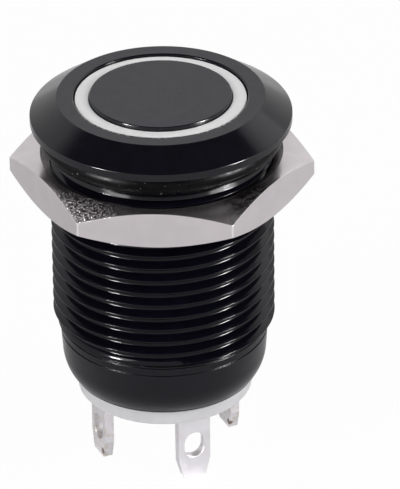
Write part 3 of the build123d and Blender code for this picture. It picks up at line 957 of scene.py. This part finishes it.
class SWITCH_OT_inside(Operator):
    """Finishes of the plunger, the contacts and the LED board"""

    bl_idname = "switch.inside"
    bl_label = "Inner parts"

    def execute(self, context):
        f = settings().finishes
        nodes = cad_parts
        for name, rgb, roughness, metal, members in (
            ("Inner moulding", f.black_plastic, 0.40, 0, ("plunger", "contact_housing")),
            ("Contact brass", f.brass, 0.28, 1, ("contact_bridge",)),
            ("Contact silver", f.silver, 0.25, 1, ("bridge_tips", "common_tip", "normally_open_tip")),
            ("Tinned wire", f.tin, 0.30, 1, ("led_plus_lead", "led_minus_lead")),
            ("Board lacquer", f.board, 0.30, 0, ("led_board",)),
            ("LED body", f.led, 0.35, 0, ("led_a", "led_b")),
            ("Resistor body", f.black_plastic, 0.30, 0, ("resistor",)),
        ):
            look = Finish(name, rgb, roughness, metallic=metal)
            look.clouds(1.6, 4, 0.9, 1.08)
            look.gloss(5, 4, roughness * 0.8, roughness * 1.2)
            look.bump(look.noise(16, detail=3), 0.0015)
            for member in members:
                dress(nodes[member], look.material)
                soften(nodes[member], 0.02)
        return {"FINISHED"}


# ---------------------------------------------------------------- stage

class SWITCH_OT_stage(Operator):
    """Floor, lamps, surroundings and camera"""

    bl_idname = "switch.stage"
    bl_label = "Stage"

    def execute(self, context):
        s = settings().stage
        self.floor(s)
        self.surroundings(context, s)
        for name, azimuth, elevation, distance, size, power, on_matt in (
            ("Left strip lamp", -50, 28, 0.30, (0.11, 0.16), s.strip_left, True),
            ("Right strip lamp", 67, 28, 0.30, (0.12, 0.16), s.strip_right, True),
            ("Left glint lamp", -54, 15, 0.29, (0.05, 0.06), s.glint_left, False),
            ("Right glint lamp", 67, 20, 0.29, (0.05, 0.11), s.glint_right, False),
            ("Back panel lamp", 135, 38, 0.5, (0.25, 0.20), s.back_panel, False),
        ):
            self.lamp(name, azimuth, elevation, distance, size, power).visible_diffuse = on_matt
        self.camera(context, s)
        context.scene.view_settings.view_transform = "Standard"
        return {"FINISHED"}

    @staticmethod
    def white_rays(tree, camera=1.0, gloss=None):
        """Share of plain white for rays that come from the camera, a reflection or glass."""
        rays = tree.nodes.new("ShaderNodeLightPath").outputs
        total = maths(tree, "MULTIPLY", rays["Is Camera Ray"], camera)
        for ray, amount in (("Is Glossy Ray", gloss or camera), ("Is Transmission Ray", camera)):
            total = maths(tree, "MAXIMUM", total, maths(tree, "MULTIPLY", rays[ray], amount))
        return total

    def floor(self, s, radius=2.0):
        """Round floor: matt and shadowed near the switch, plain white to the camera and far off."""
        bm = bmesh.new()
        bmesh.ops.create_circle(bm, cap_ends=True, segments=96, radius=radius)
        mesh = bpy.data.meshes.new("floor")
        bm.to_mesh(mesh)
        bm.free()
        floor = bpy.data.objects.new("floor", mesh)
        bpy.context.scene.collection.objects.link(floor)
        floor.location.z = CAD_BOX[0].z
        material = bpy.data.materials.new("Studio floor")
        material.use_nodes = True
        tree = material.node_tree
        tree.nodes.clear()
        output = tree.nodes.new("ShaderNodeOutputMaterial")
        matt = tree.nodes.new("ShaderNodeBsdfDiffuse")
        matt.inputs["Color"].default_value = (*s.floor, 1)
        white = tree.nodes.new("ShaderNodeEmission")
        place = tree.nodes.new("ShaderNodeTexCoord")
        away = tree.nodes.new("ShaderNodeVectorMath")
        away.operation = "LENGTH"
        tree.links.new(place.outputs["Object"], away.inputs[0])
        fade = map_range(tree, away.outputs["Value"], s.floor_gloss, 1.0, s.floor_near, s.floor_far)
        plain = self.white_rays(tree, s.whiteness, fade)
        blend(tree, output, plain, matt.outputs["BSDF"], white.outputs["Emission"])
        mesh.materials.append(material)

    def surroundings(self, context, s):
        """Even light for matt surfaces; gloss shows white walls and a dim ceiling."""
        world = bpy.data.worlds.new("Studio")
        world.use_nodes = True
        context.scene.world = world
        tree = world.node_tree
        tree.nodes.clear()
        output = tree.nodes.new("ShaderNodeOutputWorld")
        even = tree.nodes.new("ShaderNodeBackground")
        even.inputs["Strength"].default_value = s.room
        walls = tree.nodes.new("ShaderNodeBackground")
        place = tree.nodes.new("ShaderNodeTexCoord")
        split = tree.nodes.new("ShaderNodeSeparateXYZ")
        tree.links.new(place.outputs["Generated"], split.inputs["Vector"])
        fade = map_range(tree, split.outputs["Z"], 1.0, s.zenith, s.wall_top, s.ceiling_edge, smooth=True)
        path = tree.nodes.new("ShaderNodeLightPath")
        seen = maths(tree, "MAXIMUM", fade, path.outputs["Is Camera Ray"])
        tree.links.new(seen, walls.inputs["Strength"])
        blend(tree, output, self.white_rays(tree), even.outputs["Background"], walls.outputs["Background"])

    @staticmethod
    def lamp(name, azimuth, elevation, distance, size, power):
        """Soft rectangular lamp aimed at the switch; azimuth 0 is in front, positive to the right."""
        lamp = bpy.data.lights.new(name, "AREA")
        lamp.shape = "RECTANGLE"
        lamp.size, lamp.size_y = size
        lamp.energy = power
        thing = bpy.data.objects.new(name, lamp)
        bpy.context.scene.collection.objects.link(thing)
        a, e = math.radians(azimuth), math.radians(elevation)
        middle = (CAD_BOX[0] + CAD_BOX[1]) / 2
        out = Vector((math.sin(a) * math.cos(e), -math.cos(a) * math.cos(e), math.sin(e)))
        thing.location = middle + out * distance
        thing.rotation_mode = "QUATERNION"
        thing.rotation_quaternion = out.to_track_quat("Z", "Y")
        return thing

    @staticmethod
    def camera(context, s):
        """Long lens that looks down from the front, rolled a little."""
        data = bpy.data.cameras.new("Camera")
        data.lens = s.lens
        data.sensor_width = 36
        data.clip_start, data.clip_end = 0.01, 10
        camera = bpy.data.objects.new("Camera", data)
        context.scene.collection.objects.link(camera)
        camera.location = s.eye
        look = (camera.location - Vector(s.aim)).to_track_quat("Z", "Y")
        camera.rotation_mode = "QUATERNION"
        camera.rotation_quaternion = look @ Matrix.Rotation(s.roll, 3, "Z").to_quaternion()
        context.scene.camera = camera


class SWITCH_PT_panel(Panel):
    """Buttons for the switch's pieces"""

    bl_idname = "SWITCH_PT_panel"
    bl_label = "Push switch"
    bl_space_type = "VIEW_3D"
    bl_region_type = "UI"
    bl_category = "Push switch"

    def draw(self, context):
        for operator in OPERATORS:
            self.layout.operator(operator.bl_idname)
        for group in ("body", "fittings", "finishes", "stage"):
            values = getattr(settings(), group)
            box = self.layout.box()
            box.label(text=type(values).__doc__)
            for key in values.__annotations__:
                box.prop(values, key)


class SwitchSettings(PropertyGroup):
    """All settings of the switch"""

    body: PointerProperty(type=BodySizes)
    fittings: PointerProperty(type=FittingSizes)
    finishes: PointerProperty(type=Finishes)
    stage: PointerProperty(type=StageSettings)


OPERATORS = (
    SWITCH_OT_body,
    SWITCH_OT_seal,
    SWITCH_OT_nut,
    SWITCH_OT_button,
    SWITCH_OT_springs,
    SWITCH_OT_base,
    SWITCH_OT_inside,
    SWITCH_OT_stage,
)
CLASSES = (BodySizes, FittingSizes, Finishes, StageSettings, SwitchSettings, *OPERATORS, SWITCH_PT_panel)


def register():
    """Add the classes and the scene's settings."""
    for cls in CLASSES:
        bpy.utils.register_class(cls)
    bpy.types.Scene.push_switch = PointerProperty(type=SwitchSettings)


def unregister():
    """Take the settings and the classes away."""
    del bpy.types.Scene.push_switch
    for cls in reversed(CLASSES):
        bpy.utils.unregister_class(cls)


def main():
    """Build the switch and its stage."""
    register()
    bpy.ops.switch.body()
    bpy.ops.switch.seal()
    bpy.ops.switch.nut()
    bpy.ops.switch.button()
    bpy.ops.switch.springs()
    bpy.ops.switch.base()
    bpy.ops.switch.inside()
    bpy.ops.switch.stage()


if __name__ == "__main__":
    main()
